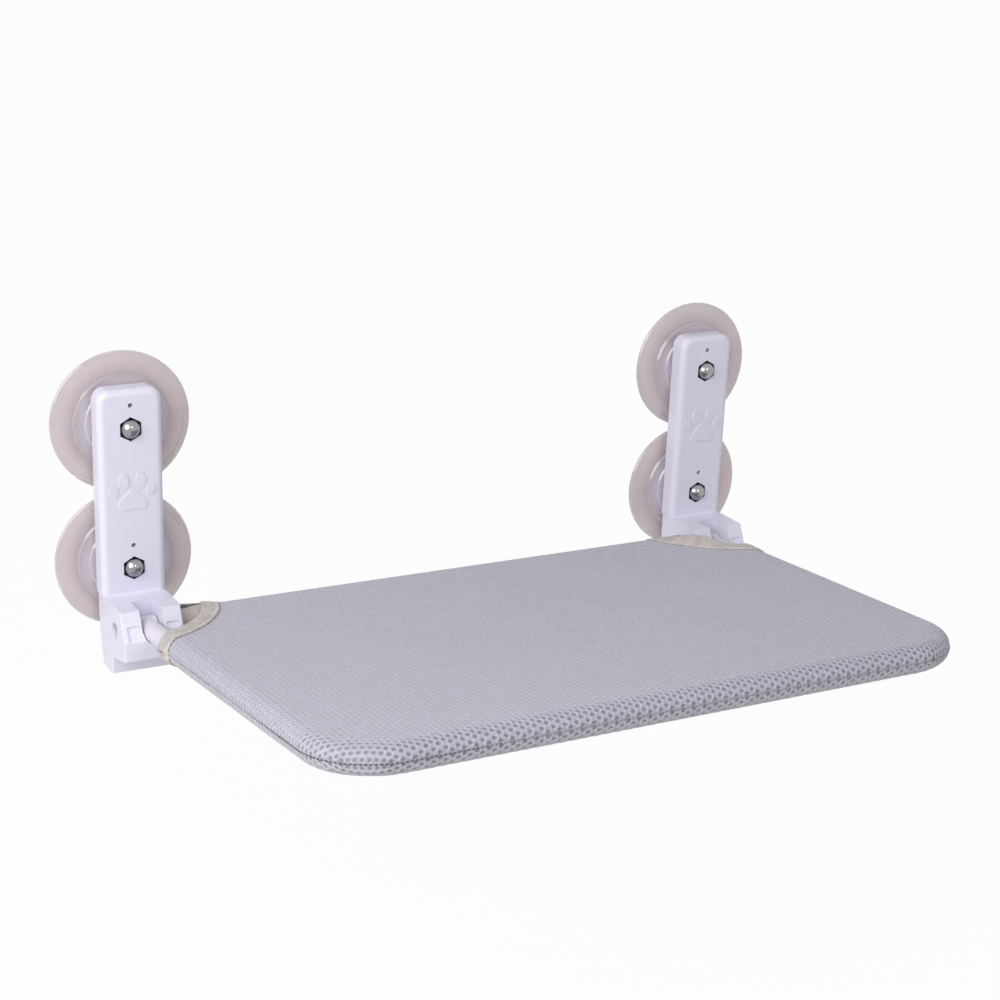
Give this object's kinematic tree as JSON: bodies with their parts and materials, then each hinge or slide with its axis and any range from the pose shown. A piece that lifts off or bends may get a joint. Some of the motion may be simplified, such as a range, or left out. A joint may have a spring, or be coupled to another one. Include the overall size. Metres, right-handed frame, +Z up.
{
  "type": "suction cup cat hammock",
  "caption": "Window cat hammock: suction cups hold upright brackets, and a padded mesh mat on a bent tube frame turns up on hinges to lie flat against the glass.",
  "frame": {"origin": "middle of the four suction cups, in the plane of the window glass", "axes": "+X to the right as seen from the room, +Y straight into the window, +Z up"},
  "size_m": [0.509, 0.3292, 0.1985],
  "materials": {
    "bracket_plastic": "satin",
    "cup_rubber": "translucent soft vinyl",
    "plain_steel": "zinc plated",
    "bright_nut": "polished",
    "plug_plastic": "satin",
    "coated_tube": "smooth powder coat",
    "air_mesh": "open air mesh",
    "lining_fabric": "plain weave",
    "binding_tape": "ribbed tape",
    "closure_tape": "hook and loop"
  },
  "bodies": {
    "window_mount": {"bracket_left": "bracket_plastic", "bracket_right": "bracket_plastic", "suction_cup_upper_left": "cup_rubber", "suction_cup_upper_right": "cup_rubber", "suction_cup_lower_left": "cup_rubber", "suction_cup_lower_right": "cup_rubber", "cup_studs_left": "plain_steel", "cup_studs_right": "plain_steel", "dome_nuts_left": "bright_nut", "dome_nuts_right": "bright_nut"},
    "hammock": {"hinge_pin_left": "plain_steel", "hinge_pin_right": "plain_steel", "arm_plug_left": "plug_plastic", "arm_plug_right": "plug_plastic", "rear_bar_insert_left": "plug_plastic", "rear_bar_insert_right": "plug_plastic", "thrust_washers": "plug_plastic", "rear_bar": "coated_tube", "frame_tube": "coated_tube", "cover_top_panel": "air_mesh", "cover_bottom_panel": "lining_fabric", "corner_binding_top_left": "binding_tape", "corner_binding_top_right": "binding_tape", "corner_binding_bottom_left": "binding_tape", "corner_binding_bottom_right": "binding_tape", "edge_seam_tape": "binding_tape", "closure_loop_strip": "closure_tape", "closure_hook_strip": "closure_tape"}
  },
  "joints": [
    {"name": "fold_up", "type": "hinge", "parent": "window_mount", "child": "hammock", "pos_m": [0, -0.0405, -0.077], "axis": [-1, 0, 0], "range_deg": [0, 84]}
  ]
}
